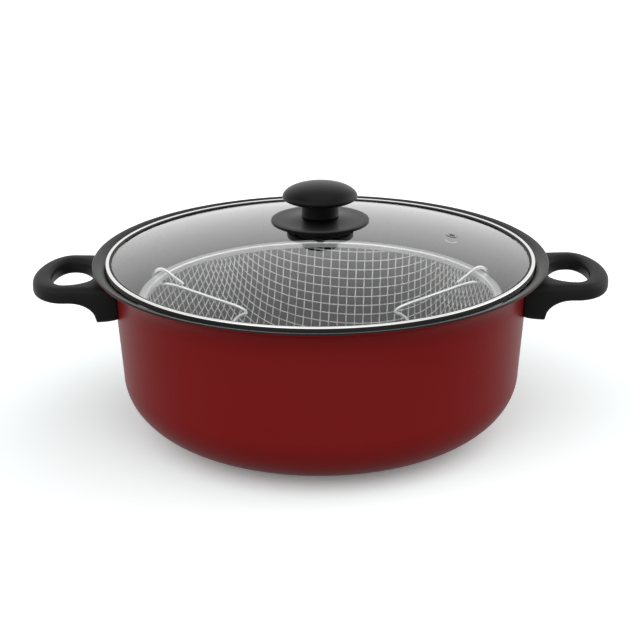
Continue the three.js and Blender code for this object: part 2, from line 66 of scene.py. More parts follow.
WEB_THICKNESS = 13.6
HOLE_INNER_REACH = 17.6
HOLE_OUTER_REACH = 10.6
GRIP_WIDTH = 13.4
HANDLE_HALF_WIDTH = 39.0
ARM_WIDTH = 12.0
LUG_INSIDE = 12.0
GRIP_TOP = 8.8
GRIP_DEPTH = 11.3
TIP_DROOP = 2.0
LUG_DEPTH = 25.7
LUG_REACH = 9.6
LUG_SWEEP = 18.4
LUG_SQUARENESS = 7.0
SECTION_SQUARENESS = 3.2
SCREW_DROP = 20.0
HEAD_POCKET_RADIUS = 5.3
HEAD_POCKET_DEPTH = 4.7
POCKET_OVERRUN = 2.0

GLASS_THICKNESS = 2.8
GLASS_MARGIN = 4.4
GLASS_EDGE = 0.6
GLASS_CHAMFER = 0.3
DOME_RISE = 20.0
DOME_BEND = 1.0
DOME_SAG = 0.05
KNOB_HOLE = 3.1
VENT_HOLE = 2.0
VENT_TUBE = 3.0
VENT_FLANGE = 4.2
VENT_SHEET = 0.7
VENT_ANGLE = math.radians(4)
VENT_INSET = 50.0
VENT_CUT_LOW = -6.0
VENT_CUT_HIGH = 3.0
BAND_SHEET = 0.5
BAND_TOP_LIP = 2.4
BAND_BOTTOM_LIP = 4.0
BEAD_WIDTH = 1.5
BEAD_HEIGHT = 0.45
BEAD_GAP = 0.05

SCREW_HOLE = 2.8
HUB_RADIUS = 22.5
HUB_HEIGHT = 4.0
SKIRT_EDGE = 1.8
SKIRT_DISH = 2.6
SKIRT_EDGE_LIFT = 0.25
SKIRT_LIP_WIDTH = 3.0
SKIRT_LIP_RISE = 0.3
SKIRT_HOLLOW = 2.2
SEAL_RECESS_RADIUS = 14.3
SEAL_RECESS_HEIGHT = 1.5
NECK_RADIUS = 12.6
NECK_HEIGHT = 10.0
NECK_FOOT = 5.5
NECK_FLOOR = 1.2
NECK_CHAMFER = 0.6
KNOB_OVERLAP = 0.1
CAP_UNDER = 3.4
INSERT_POCKET_RADIUS = 4.8
INSERT_POCKET_HEIGHT = 10.8

RIM_BAND_WIDTH = 6.0
RIM_SHEET = 0.8
MESH_THICKNESS = 1.8
MESH_FLOOR_RADIUS = 75.0
MESH_FOOT_RADIUS = 107.0
MESH_CORNER_HEIGHT = 30.0
NET_PITCH = 6.6
NET_WIRE = 0.45
NET_CRIMP = 0.22
NET_TURN = math.radians(-10)
NET_EASE = 0.85
SLOPE_STEP = 0.5
TANGENT_STEP = 0.1

BAIL_HALF_WIDTH = 45.0
BAIL_WIRE = 1.2
HOOK_RADIUS = 5.5
HOOK_FINGER = 15.5
HOOK_FINGER_SLOPE = math.radians(40)
LEG_START = 7.0
LEG_FALL = math.radians(20.3)
LEG_LENGTH = 56.0
BAIL_CORNER = 7.0
GRIP_HOLLOW = 9.0
OFF_LEG = 1e-3

# Fineness of the surfaces
AROUND = 360
KNOB_AROUND = 192
VENT_AROUND = 64
SMALL_AROUND = 32
HANDLE_AROUND = 240
HANDLE_SECTION = 72
CORNER_STEPS = 28
FLARE_STEPS = 20
LIP_STEPS = 12
DOME_STEPS = 40
EDGE_STEPS = 4
HOLLOW_STEPS = 14
CAP_UNDER_STEPS = 14
CROWN_STEPS = 26
MERIDIAN_STEPS = 120
HOOK_STEPS = 8
BAIL_STEPS = 14
BAIL_SIDES = 16
NET_SIDES = 5
NET_STATIONS = 4
BEND_STEPS = 5
MOST_CUT = 0.3
SHARP = math.radians(38)
DOUBLED = 1e-7
ROUND_OFF = 1e-6


def box_mm(node):
    """Lowest and highest corner of a node of the frame, in millimetres."""
    return [np.array(corner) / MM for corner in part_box(node)]


POT_HIGH = box_mm("pot_body")[1]
RIM_RADIUS = POT_HIGH[0]
POT_HEIGHT = POT_HIGH[2]
FLARE_REACH = RIM_RADIUS - WALL_TOP_RADIUS
FLARE_START = POT_HEIGHT - POT_WALL - FLARE_HEIGHT


# Meshes from arrays
def grid_faces(rows, columns, rows_closed=True, columns_closed=True):
    """Corner numbers of the four-sided faces between neighbouring points of a grid stored row by row."""
    index = np.arange(rows * columns).reshape(rows, columns)
    if rows_closed:
        index = np.vstack([index, index[:1]])
    if columns_closed:
        index = np.hstack([index, index[:, :1]])
    corners = [index[:-1, :-1], index[1:, :-1], index[1:, 1:], index[:-1, 1:]]
    return np.stack(corners, axis=-1).reshape(-1, 4)


def outwards(points, faces):
    """The faces wound so that the volume that they enclose, summed over two triangles a face, is positive."""
    a, b, c, d = (points[faces[:, k]] for k in range(4))
    volume = np.einsum("ij,ij->", a, np.cross(b, c) + np.cross(c, d))
    return faces if volume > 0 else faces[:, ::-1]


def make_piece(name, points, faces, materials, shares=None, caps=()):
    """A mesh object at the origin. Doubled points are merged, so a ring of points on the axis is one pole.
    shares holds the material number of each face, and caps the corner numbers of extra flat end faces."""
    mesh = bpy.data.meshes.new(name)
    mesh.from_pydata((points.reshape(-1, 3) * MM).tolist(), [], faces.tolist() + [list(cap) for cap in caps])
    for material in materials:
        mesh.materials.append(material)
    if shares is not None:
        mesh.polygons.foreach_set("material_index", shares.astype(np.int32))
    shape = bmesh.new()
    shape.from_mesh(mesh)
    bmesh.ops.remove_doubles(shape, verts=shape.verts, dist=DOUBLED)
    shape.to_mesh(mesh)
    shape.free()
    mesh.shade_smooth()
    mesh.set_sharp_from_angle(angle=SHARP)
    piece = bpy.data.objects.new(name, mesh)
    bpy.context.scene.collection.objects.link(piece)
    return piece


def dress(piece, body, slot, *nodes):
    """Lets a piece move with a body and stand for nodes of the frame. The slot is not used."""
    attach(piece, body)
    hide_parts(*nodes)
    return piece


def carve(piece, *cutters):
    """Cuts closed shapes out of a piece, and removes them."""
    for cutter in cutters:
        cut = piece.modifiers.new("cut", "BOOLEAN")
        cut.operation = "DIFFERENCE"
        cut.solver = "EXACT"
        cut.object = cutter
    bpy.context.view_layer.update()
    finished = piece.evaluated_get(bpy.context.evaluated_depsgraph_get())
    mesh = bpy.data.meshes.new_from_object(finished)
    piece.modifiers.clear()
    piece.data = mesh
    mesh.shade_smooth()
    mesh.set_sharp_from_angle(angle=SHARP)
    for cutter in cutters:
        bpy.data.objects.remove(cutter)
    return piece


# Profiles
def full_turn(steps):
    """The angles of that many even steps round a whole turn, without the last one, which is the first."""
    return np.linspace(0, 2 * math.pi, steps, endpoint=False)


def ellipse_arc(radius, height, reach, rise, start, end, steps):
    """Rows on an ellipse about (radius, height): reach times the cosine of an angle, rise times its sine."""
    angle = np.linspace(start, end, steps + 1)
    return np.column_stack([radius + reach * np.cos(angle), height + rise * np.sin(angle)])


def eased(corners, cut):
    """The loop of corners with each corner rounded: the curve (1-t)^2 A + 2t(1-t) P + t^2 B runs from A to B,
    which lie the cut's length before and after corner P. A holding point half a cut beyond each end keeps
    the sides flat. cut holds a length for each corner, and a corner whose cut is 0 stays as it is."""
    corners = np.asarray(corners, dtype=float)
    to_last = np.roll(corners, 1, axis=0) - corners
    to_next = np.roll(corners, -1, axis=0) - corners
    last_length = np.linalg.norm(to_last, axis=1)[:, None]
    next_length = np.linalg.norm(to_next, axis=1)[:, None]
    cut = np.asarray(cut, dtype=float)[:, None]
    cut = np.minimum(cut, MOST_CUT * np.minimum(last_length, next_length))
    to_last = to_last / np.maximum(last_length, ROUND_OFF)
    to_next = to_next / np.maximum(next_length, ROUND_OFF)
    start = corners + cut * to_last
    end = corners + cut * to_next
    t = np.linspace(0, 1, BEND_STEPS + 1)[None, :, None]
    curve = (1 - t) ** 2 * start[:, None] + 2 * t * (1 - t) * corners[:, None] + t ** 2 * end[:, None]
    before = (start + cut / 2 * to_last)[:, None]
    after = (end + cut / 2 * to_next)[:, None]
    loop = np.concatenate([before, curve, after], axis=1).reshape(-1, 2)
    apart = np.linalg.norm(loop - np.roll(loop, 1, axis=0), axis=1) > ROUND_OFF
    apart[0] = True
    return loop[apart]


def lathe(name, profile, materials, around=AROUND, shares=None, placed=None):
    """Surface of revolution: the point (r, z) turned by the angle a is (r cos a, r sin a, z).
    The profile is a closed loop, or starts and ends on the axis. shares holds a material number for each row
    of faces, and placed is a turn and shift that the points get."""
    turn = full_turn(around)
    radius, height = profile.T
    points = np.stack([
        np.outer(radius, np.cos(turn)),
        np.outer(radius, np.sin(turn)),
        np.repeat(height[:, None], around, axis=1),
    ], axis=-1).reshape(-1, 3)
    on_axis = radius[0] < ROUND_OFF and radius[-1] < ROUND_OFF
    faces = grid_faces(len(profile), around, rows_closed=not on_axis)
    if placed is not None:
        points = points @ np.array(placed.to_3x3()).T + np.array(placed.translation)
    if shares is not None:
        shares = np.repeat(shares[:len(faces) // around], around)
    return make_piece(name, points, outwards(points, faces), materials, shares)


def swept(name, path, first_axis, tangent, radius, sides, materials, wire=None):
    """A wire: around each point P of the path lies the ring P + radius (cos a A + sin a B), where B is the
    path's direction crossed with the axis A, and A is then turned square to both. wire numbers the wires
    that share the arrays, and the ends of each one are closed by flat faces."""
    wire = np.zeros(len(path), dtype=int) if wire is None else wire
    second_axis = np.cross(tangent, first_axis)
    second_axis /= np.linalg.norm(second_axis, axis=1, keepdims=True)
    first_axis = np.cross(second_axis, tangent)
    first_axis /= np.linalg.norm(first_axis, axis=1, keepdims=True)
    angle = full_turn(sides)
    ring = radius * (np.cos(angle)[:, None, None] * first_axis + np.sin(angle)[:, None, None] * second_axis)
    points = (path + ring).transpose(1, 0, 2).reshape(-1, 3)
    faces = grid_faces(len(path), sides, rows_closed=False)
    joined = np.repeat(wire[1:] == wire[:-1], sides)
    starts = np.flatnonzero(np.r_[True, wire[1:] != wire[:-1]])
    ends = np.flatnonzero(np.r_[wire[1:] != wire[:-1], True])
    corners = np.arange(sides)
    caps = [*(starts[:, None] * sides + corners).tolist(), *(ends[:, None] * sides + corners[::-1]).tolist()]
    return make_piece(name, points, faces[joined], materials, caps=caps)


# Materials: small procedural node trees that read Object coordinates
NOISE_ROUGHNESS = 0.55
GLASS_IOR = 1.5


def add(tree, kind, values=None, **settings):
    """A node of that kind. values sets its inputs by name or number, and a socket among them is linked."""
    node = tree.nodes.new("ShaderNode" + kind)
    for key, value in settings.items():
        setattr(node, key, value)
    for key, value in (values or {}).items():
        if isinstance(value, bpy.types.NodeSocket):
            tree.links.new(value, node.inputs[key])
        else:
            node.inputs[key].default_value = value
    return node


def new_material(name):
    """A material with an empty node tree, and the object's coordinates in metres."""
    material = bpy.data.materials.new(name)
    material.use_nodes = True
    tree = material.node_tree
    tree.nodes.clear()
    where = add(tree, "TexCoord").outputs["Object"]
    return material, tree, where


def surfaced(material, shader):
    """The material, with that shader as its surface."""
    add(material.node_tree, "OutputMaterial", {"Surface": shader.outputs[0]})
    return material


def principled(material, values):
    """The material, with a principled shader of those values as its surface."""
    return surfaced(material, add(material.node_tree, "BsdfPrincipled", values))


def calculated(tree, operation, *values):
    """The values taken together by one kind of sum, from left to right."""
    result = values[0]
    for value in values[1:]:
        result = add(tree, "Math", {0: result, 1: value}, operation=operation).outputs[0]
    return result


def noise(tree, where, scale, detail=3.0):
    """Fractal noise of the place, from 0 to 1."""
    values = {"Vector": where, "Scale": scale, "Detail": detail, "Roughness": NOISE_ROUGHNESS}
    return add(tree, "TexNoise", values).outputs["Fac"]


def ranged(tree, value, low, high, start=0.0, end=1.0):
    """The value carried from the range start..end to the range low..high."""
    values = {"Value": value, "From Min": start, "From Max": end, "To Min": low, "To Max": high}
    return add(tree, "MapRange", values).outputs["Result"]


def tinted(tree, factor, dark, light):
    """A colour between dark and light."""
    values = {"Factor": factor, "A": (*dark, 1), "B": (*light, 1)}
    return add(tree, "Mix", values, data_type="RGBA").outputs["Result"]


def bumped(tree, height, strength, distance):
    """A surface normal raised by the height."""
    return add(tree, "Bump", {"Height": height, "Strength": strength, "Distance": distance}).outputs["Normal"]


def round_lines(tree, where, scale):
    """Fine turning marks: noise of the distance from Z and the height, so it is the same all round."""
    part = add(tree, "SeparateXYZ", {0: where})
    flat = add(tree, "CombineXYZ", {"X": part.outputs["X"], "Y": part.outputs["Y"]})
    radius = add(tree, "VectorMath", {0: flat.outputs[0]}, operation="LENGTH").outputs["Value"]
    place = add(tree, "CombineXYZ", {"X": radius, "Z": part.outputs["Z"]}).outputs[0]
    return noise(tree, place, scale, detail=2.0)


def enamel_material():
    """Red enamel: even deep colour, satin, with the faint ripple of a fired coat."""
    material, tree, where = new_material("red_enamel")
    cloud = noise(tree, where, 14.0)
    ripple = noise(tree, where, 900.0, detail=1.0)
    return principled(material, {
        "Base Color": tinted(tree, cloud, (0.174, 0.0068, 0.0070), (0.190, 0.0080, 0.0082)),
        "Roughness": ranged(tree, cloud, 0.34, 0.42),
        "Specular IOR Level": 0.14,
        "Normal": bumped(tree, ripple, 0.05, 0.0004),
    })


def coating_material():
    """Black non-stick coating with fine grey speckle."""
    material, tree, where = new_material("black_coating")
    grain = noise(tree, where, 1500.0, detail=1.0)
    fleck = ranged(tree, grain, 0.0, 1.0, 0.66, 0.74)
    cloud = noise(tree, where, 30.0)
    return principled(material, {
        "Base Color": tinted(tree, fleck, (0.003, 0.003, 0.003), (0.012, 0.012, 0.012)),
        "Roughness": ranged(tree, cloud, 0.24, 0.32),
        "Specular IOR Level": 0.16,
        "Normal": bumped(tree, grain, 0.06, 0.0003),
    })


def moulding_material(name, tone, sheen, roughness):
    """Black phenolic moulding of about that grey: a soft sheen over a very fine grain."""
    material, tree, where = new_material(name)
    grain = noise(tree, where, 2600.0, detail=1.0)
    cloud = noise(tree, where, 45.0)
    return principled(material, {
        "Base Color": tinted(tree, cloud, [0.85 * tone] * 3, [1.15 * tone] * 3),
        "Roughness": ranged(tree, cloud, 0.9 * roughness, 1.1 * roughness),
        "Specular IOR Level": sheen,
        "Normal": bumped(tree, grain, 0.12, 0.0002),
    })


def steel_material(name, colour, roughness, marks, metallic=1.0):
    """Bright steel with fine marks that run round the part. Less metallic stands for a satin plating."""
    material, tree, where = new_material(name)
    lines = round_lines(tree, where, marks)
    smudge = noise(tree, where, 60.0)
    return principled(material, {
        "Base Color": tinted(tree, smudge, [0.94 * c for c in colour], colour),
        "Metallic": metallic,
        "Roughness": ranged(tree, lines, roughness * 0.8, roughness * 1.2),
        "Normal": bumped(tree, lines, 0.08, 0.0001),
    })


def wire_material():
    """Bright plated wire, slightly uneven in its shine."""
    material, tree, where = new_material("bright_wire")
    patch = noise(tree, where, 160.0)
    return principled(material, {
        "Base Color": tinted(tree, patch, (0.9, 0.9, 0.9), (0.98, 0.98, 0.98)),
        "Metallic": 1.0,
        "Roughness": ranged(tree, patch, 0.4, 0.52),
    })


def glass_material():
    """Clear glass that lets straight through what it doesn't mirror. Both faces of the sheet mirror, which
    makes 2R / (1 + R) of the share R of one face, and only the face towards the ray shows it."""
    material, tree, where = new_material("clear_glass")
    fresnel = add(tree, "Fresnel", {"IOR": GLASS_IOR}).outputs[0]
    twice = calculated(tree, "MULTIPLY", fresnel, 2.0)
    whole = calculated(tree, "ADD", fresnel, 1.0)
    both = calculated(tree, "DIVIDE", twice, whole)
    behind = add(tree, "NewGeometry").outputs["Backfacing"]
    front = calculated(tree, "SUBTRACT", 1.0, behind)
    share = calculated(tree, "MULTIPLY", both, front)
    film = noise(tree, where, 25.0)
    clear = add(tree, "BsdfTransparent", {"Color": (0.985, 0.99, 0.988, 1)})
    mirror = add(tree, "BsdfGlossy", {
        "Color": (1, 1, 1, 1),
        "Roughness": ranged(tree, film, 0.02, 0.05),
    }, distribution="GGX")
    return surfaced(material, add(tree, "MixShader", {0: share, 1: clear.outputs[0], 2: mirror.outputs[0]}))


def brass_material():
    """Turned brass."""
    material, tree, where = new_material("turned_brass")
    lines = round_lines(tree, where, 2500.0)
    return principled(material, {
        "Base Color": tinted(tree, lines, (0.5, 0.33, 0.12), (0.66, 0.47, 0.19)),
        "Metallic": 1.0,
        "Roughness": ranged(tree, lines, 0.25, 0.4),
    })


def silicone_material():
    """Black silicone rubber, matt. On the lid band's inner faces it is painted shade."""
    material, tree, where = new_material("black_silicone_and_painted_shade")
    cloud = noise(tree, where, 120.0)
    return principled(material, {
        "Base Color": tinted(tree, cloud, (0.020, 0.020, 0.020), (0.028, 0.028, 0.028)),
        "Roughness": ranged(tree, cloud, 0.5, 0.65),
        "Specular IOR Level": 0.2,
    })


ENAMEL = enamel_material()
COATING = coating_material()
MOULDING = moulding_material("black_moulding", 0.016, 0.055, 0.42)
# The knob's copy is much darker in tone than the handles': painted shade, for the little light that reaches
# its neck and underside.
KNOB_MOULDING_PAINTED_SHADE = moulding_material("black_knob_moulding_painted_shade", 0.0012, 0.14, 0.31)
BAND_STEEL = steel_material("polished_band", (0.86, 0.86, 0.85), 0.1, 3000.0)
RIM_STEEL = steel_material("formed_rim", (0.96, 0.96, 0.96), 0.32, 2500.0, metallic=0.55)
PLAIN_STEEL = steel_material("fixing_steel", (0.62, 0.62, 0.61), 0.3, 4000.0)
# The vent's steel is made dark as painted shade, standing for the dark surroundings that the ring mirrors.
VENT_STEEL_PAINTED_SHADE = steel_material("vent_steel_painted_shade", (0.22, 0.22, 0.22), 0.15, 4000.0)
WIRE = wire_material()
GLASS = glass_material()
BRASS = brass_material()
SILICONE_AND_PAINTED_SHADE = silicone_material()


# Pot
def pot_radius_at(height):
    """Outer radius of the pot on the straight wall or the flare, a quarter of an ellipse."""
    rise = np.clip((height - FLARE_START) / FLARE_HEIGHT, 0, 1)
    share = np.clip((height - CORNER_HEIGHT) / (FLARE_START - CORNER_HEIGHT), 0, 1)
    wall = WALL_FOOT_RADIUS + (WALL_TOP_RADIUS - WALL_FOOT_RADIUS) * share
    flare = RIM_RADIUS - FLARE_REACH * np.sqrt(1 - rise ** 2)
    return np.where(height > FLARE_START, flare, wall)


def pot_shell():
    """Outside, lip and inside of the pot as one turned loop. The flat base is a little hollow in its middle,
    the corner and the flare are quarters of ellipses, and the lip is rounded."""
    corner_reach = WALL_FOOT_RADIUS - BASE_RADIUS
    hollow = [[0, BASE_RECESS], [BASE_RECESS_RADIUS, BASE_RECESS], [BASE_RECESS_RADIUS + 2 * BASE_RECESS, 0]]
    corner = ellipse_arc(BASE_RADIUS, CORNER_HEIGHT, corner_reach, CORNER_HEIGHT, -QUARTER, 0,
                         CORNER_STEPS)
    flare = ellipse_arc(RIM_RADIUS, FLARE_START, FLARE_REACH, FLARE_HEIGHT, math.pi, QUARTER,
                        FLARE_STEPS)
    half = POT_WALL / 2
    lip = ellipse_arc(RIM_RADIUS - half, POT_HEIGHT - half, half, half, -QUARTER, QUARTER, LIP_STEPS)
    flare_inside = ellipse_arc(RIM_RADIUS, FLARE_START, FLARE_REACH + POT_WALL, FLARE_HEIGHT + POT_WALL,
                               QUARTER, math.pi, FLARE_STEPS)
    corner_inside = ellipse_arc(BASE_RADIUS, CORNER_HEIGHT, corner_reach - POT_WALL,
                                CORNER_HEIGHT - POT_WALL, 0, -QUARTER, CORNER_STEPS)
    outside = np.vstack([hollow, corner, flare[:-1]])
    inside = np.vstack([flare_inside[1:], corner_inside, [[0, POT_WALL]]])
    profile = np.vstack([outside, lip, inside])
    shares = np.zeros(len(profile), dtype=int)
    shares[len(outside) + len(lip) // 2:] = 1
    return dress(lathe("pot_shell", profile, [ENAMEL, COATING], shares=shares), "pot", "enamel", "pot_body")


# Side handles
WEB_FACE = WALL_TOP_RADIUS + WEB_THICKNESS
GRIP_CENTRE = WEB_FACE + HOLE_INNER_REACH
GRIP_REACH = HOLE_OUTER_REACH + GRIP_WIDTH


def outline_radius(cosine, sine, reach, width, squareness):
    """Distance from the middle to a rounded rectangle, |c / reach|^n + |s / width|^n = 1 / distance^n."""
    return (np.abs(cosine / reach) ** squareness + np.abs(sine / width) ** squareness) ** (-1 / squareness)


def squared(wave):
    """A sine or cosine flattened towards 1 and -1: its sign times its size to the power 2 / n,
    where n is SECTION_SQUARENESS."""
    return np.sign(wave) * np.abs(wave) ** (2 / SECTION_SQUARENESS)


def side_handle(side):
    """A closed tube of rounded sections round the finger hole. The hole is half an ellipse on each side of
    the grip's centre, the outline is an ellipse outwards and a squarer one, cut by the wall, at the lug. The
    upper half of the section is the same all round, and the underside falls from the grip to the lug on a
    quarter of an ellipse."""
    turn = full_turn(HANDLE_AROUND)[:, None]
    section = full_turn(HANDLE_SECTION)[None, :]
    cosine, sine = np.cos(turn), np.sin(turn)
    out = cosine > 0
    hole_half_width = HANDLE_HALF_WIDTH - ARM_WIDTH
    hole = np.where(out, outline_radius(cosine, sine, HOLE_OUTER_REACH, hole_half_width, 2),
                    outline_radius(cosine, sine, HOLE_INNER_REACH, hole_half_width, 2))
    lug_outline = WEB_THICKNESS + HOLE_INNER_REACH + LUG_INSIDE
    outer = np.where(out, outline_radius(cosine, sine, GRIP_REACH, HANDLE_HALF_WIDTH, 2),
                     outline_radius(cosine, sine, lug_outline, HANDLE_HALF_WIDTH, LUG_SQUARENESS))
    up = squared(np.sin(section))
    distance = (hole + outer) / 2 + (outer - hole) / 2 * squared(np.cos(section))
    reach = GRIP_CENTRE + distance * cosine
    aside = distance * sine
    beyond = np.clip((reach - GRIP_CENTRE) / GRIP_REACH, 0, None)
    top = POT_HEIGHT - GRIP_TOP - TIP_DROOP * beyond ** 2
    lug_end = WALL_TOP_RADIUS + LUG_REACH
    sweep = np.clip((lug_end + LUG_SWEEP - reach) / LUG_SWEEP, 0, 1)
    bottom = top - GRIP_DEPTH - (LUG_DEPTH - GRIP_DEPTH) * (1 - np.sqrt(1 - sweep ** 2))
    middle = top - GRIP_DEPTH / 2
    height = middle + up * np.where(up > 0, GRIP_DEPTH / 2, middle - bottom)
    wall = pot_radius_at(height) + CLEARANCE
    inside = (np.hypot(reach, aside) < wall) & (reach < GRIP_CENTRE)
    reach = np.where(inside, np.sqrt(np.maximum(wall ** 2 - aside ** 2, 0)), reach)
    mirror = SIDES[side]
    points = np.stack([mirror * reach, mirror * aside, height], axis=-1).reshape(-1, 3)
    faces = grid_faces(turn.size, section.size)
    loop = make_piece(f"handle_loop_{side}", points, outwards(points, faces), [MOULDING])
    carve(loop, head_pocket(mirror))
    return dress(loop, "pot", "moulding", f"side_handle_{side}")


def head_pocket(mirror):
    """The round sinking for the screw's head in the web, as a closed cylinder along X."""
    profile = np.array([[0, 0], [HEAD_POCKET_RADIUS, 0], [HEAD_POCKET_RADIUS, 1], [0, 1]], dtype=float)
    profile[:, 1] = WEB_FACE - HEAD_POCKET_DEPTH + profile[:, 1] * (HEAD_POCKET_DEPTH + POCKET_OVERRUN)
    placed = Matrix.Rotation(mirror * QUARTER, 4, "Y")
    placed.translation = (0, 0, POT_HEIGHT - SCREW_DROP)
    return lathe("head_pocket", profile, [], around=SMALL_AROUND, placed=placed)


# Lid
BAND_LOW, BAND_HIGH = box_mm("lid_band")
GLASS_LOW, GLASS_HIGH = box_mm("lid_glass")
GLASS_RADIUS = GLASS_HIGH[0]
GLASS_BOTTOM = GLASS_LOW[2]
GLASS_TOP = GLASS_BOTTOM + GLASS_THICKNESS
DOME_RADIUS = GLASS_RADIUS - GLASS_MARGIN
DOME_SPHERE = (DOME_RADIUS ** 2 + DOME_RISE ** 2) / (2 * DOME_RISE)
VENT_PLACE = DOME_RADIUS - VENT_INSET


def dome_height(radius):
    """Height of the glass's upper side: a cap of a sphere over the flat edge."""
    return GLASS_TOP + DOME_RISE - DOME_SPHERE + np.sqrt(DOME_SPHERE ** 2 - radius ** 2)


def vent_place():
    """The turn and shift that stand a piece made about Z on the glass at the vent, square to it."""
    lean = math.asin(VENT_PLACE / DOME_SPHERE)
    placed = Matrix.Rotation(VENT_ANGLE, 4, "Z") @ Matrix.Rotation(lean, 4, "Y")
    placed.translation = (
        VENT_PLACE * math.cos(VENT_ANGLE),
        VENT_PLACE * math.sin(VENT_ANGLE),
        float(dome_height(VENT_PLACE)),
    )
    return placed


def glass_dome():
    """Sheet of even height between two caps of a sphere, with a flat edge inside the band."""
    radius = KNOB_HOLE + (DOME_RADIUS - KNOB_HOLE) * np.sin(np.linspace(0, QUARTER, DOME_STEPS))
    upper = np.column_stack([radius, dome_height(radius)])
    lower = upper - [0, GLASS_THICKNESS]
    edge_start = GLASS_RADIUS - GLASS_EDGE
    bend = [[DOME_RADIUS + DOME_BEND, GLASS_TOP - DOME_SAG], [edge_start, GLASS_TOP]]
    edge = ellipse_arc(edge_start, GLASS_TOP - GLASS_EDGE, GLASS_EDGE, GLASS_EDGE, QUARTER, 0, EDGE_STEPS)
    under_edge = [[GLASS_RADIUS, GLASS_BOTTOM + GLASS_CHAMFER], [GLASS_RADIUS - GLASS_CHAMFER, GLASS_BOTTOM]]
    profile = np.vstack([upper, bend, edge[1:], under_edge, lower[::-1]])
    dome = lathe("glass_dome", profile, [GLASS])
    wide = VENT_TUBE + CLEARANCE
    hole = np.array([[0, VENT_CUT_LOW], [wide, VENT_CUT_LOW], [wide, VENT_CUT_HIGH], [0, VENT_CUT_HIGH]])
    carve(dome, lathe("vent_hole", hole, [], around=SMALL_AROUND, placed=vent_place()))
    return dress(dome, "lid", "glass", "lid_glass")


def lid_band():
    """Stainless strip rolled round the glass: a C-shaped section with soft bends and turned-in edges. Its
    inner faces are black as painted shade, for the dark channel that the glass sits in."""
    radius, bottom, top = BAND_HIGH[0], BAND_LOW[2], BAND_HIGH[2]
    inner = radius - BAND_SHEET
    corners = [
        [radius - BAND_BOTTOM_LIP, bottom],
        [radius, bottom],
        [radius, top],
        [radius - BAND_TOP_LIP, top],
        [radius - BAND_TOP_LIP, top - BAND_SHEET],
        [inner, top - BAND_SHEET],
        [inner, bottom + BAND_SHEET],
        [radius - BAND_BOTTOM_LIP, bottom + BAND_SHEET],
    ]
    profile = eased(corners, [0.2, 0.8, 1.1, 0.24, 0.1, 0.3, 0.3, 0.1])
    # The band's inner faces take the black silicone colour as painted shade, not as a real seal.
    shade_strip_bottom = bottom + 0.6 * BAND_SHEET
    shade_strip_top = top - 0.9 * BAND_SHEET
    radii, heights = profile.T
    inside = (radii < inner + 0.1) & (heights > shade_strip_bottom) & (heights < shade_strip_top)
    band = lathe("rolled_band", profile, [BAND_STEEL, SILICONE_AND_PAINTED_SHADE], shares=inside.astype(int))
    return dress(band, "lid", "steel", "lid_band")


def black_edge_bead():
    """Flat black bead lying on the glass along the inner edge of the band."""
    outer = BAND_HIGH[0] - BAND_TOP_LIP - BEAD_GAP
    inner = outer - BEAD_WIDTH
    low = GLASS_TOP + BEAD_GAP
    corners = [[inner, low], [outer, low], [outer, low + BEAD_HEIGHT], [inner, low + BEAD_HEIGHT]]
    bead = lathe("black_edge_bead", eased(corners, [0.05, 0.05, 0.12, 0.12]), [SILICONE_AND_PAINTED_SHADE])
    return dress(bead, "lid", "silicone", "lid_band")


def vent_eyelet():
    """Pressed eyelet through the glass: a tube with a rounded flange above and one below. Mirrors don't show
    it, and so it leaves no dark image in the glass under it."""
    above = CLEARANCE + VENT_SHEET
    below = -GLASS_THICKNESS - CLEARANCE
    corners = [
        [VENT_HOLE, below - VENT_SHEET],
        [VENT_FLANGE, below - VENT_SHEET],
        [VENT_FLANGE, below],
        [VENT_TUBE, below],
        [VENT_TUBE, CLEARANCE],
        [VENT_FLANGE, CLEARANCE],
        [VENT_FLANGE, above],
        [VENT_HOLE, above],
    ]
    profile = eased(corners, [0.4, 0.3, 0.2, 0.2, 0.2, 0.2, 0.3, 0.5])
    eyelet = lathe("vent_ring", profile, [VENT_STEEL_PAINTED_SHADE], around=VENT_AROUND, placed=vent_place())
    eyelet.visible_glossy = False
    return dress(eyelet, "lid", "steel", "vent_eyelet")


# Knob
def knob_skirt():
    """Dished disc on a hub: the disc's top rises in a hollow curve, a power of the share of the way, from a
    rounded edge to the neck. The hub, whose middle is recessed for the seal, reaches a little way into it.
    Mirrors show the hub alone."""
    low, high = box_mm("knob_skirt")
    bottom, radius = low[2], high[0]
    recess_top = bottom + SEAL_RECESS_HEIGHT
    disc_bottom = bottom + HUB_HEIGHT
    edge_bottom = disc_bottom + SKIRT_EDGE_LIFT * SKIRT_DISH
    top = high[2]
    lip = np.array([
        [radius, edge_bottom],
        [radius, edge_bottom + SKIRT_EDGE],
        [radius - SKIRT_LIP_WIDTH, edge_bottom + SKIRT_EDGE + SKIRT_LIP_RISE],
    ])
    rise = top - lip[2, 1]
    share = np.linspace(0, 1, HOLLOW_STEPS)[1:]
    hollow = np.column_stack([
        lip[2, 0] + (NECK_RADIUS - lip[2, 0]) * share,
        lip[2, 1] + rise * share ** SKIRT_HOLLOW,
    ])
    corners = np.vstack([
        [[SCREW_HOLE, disc_bottom], [HUB_RADIUS, disc_bottom]],
        lip,
        hollow,
        [[SCREW_HOLE, top]],
    ])
    disc = lathe("knob_disc", eased(corners, np.r_[0, 0.2, 0.7, 0.9, 0.9, np.zeros(len(hollow)), 0]),
                 [KNOB_MOULDING_PAINTED_SHADE], around=KNOB_AROUND)
    disc.visible_glossy = False
    hub_top = disc_bottom + KNOB_OVERLAP
    corners = [
        [SCREW_HOLE, recess_top],
        [SEAL_RECESS_RADIUS, recess_top],
        [SEAL_RECESS_RADIUS, bottom],
        [HUB_RADIUS, bottom],
        [HUB_RADIUS, hub_top],
        [SCREW_HOLE, hub_top],
    ]
    hub = lathe("knob_hub", eased(corners, [0, 0, 0.4, 0.7, 0, 0]), [KNOB_MOULDING_PAINTED_SHADE], around=KNOB_AROUND)
    for piece in (disc, hub):
        dress(piece, "lid", "moulding", "knob_skirt")


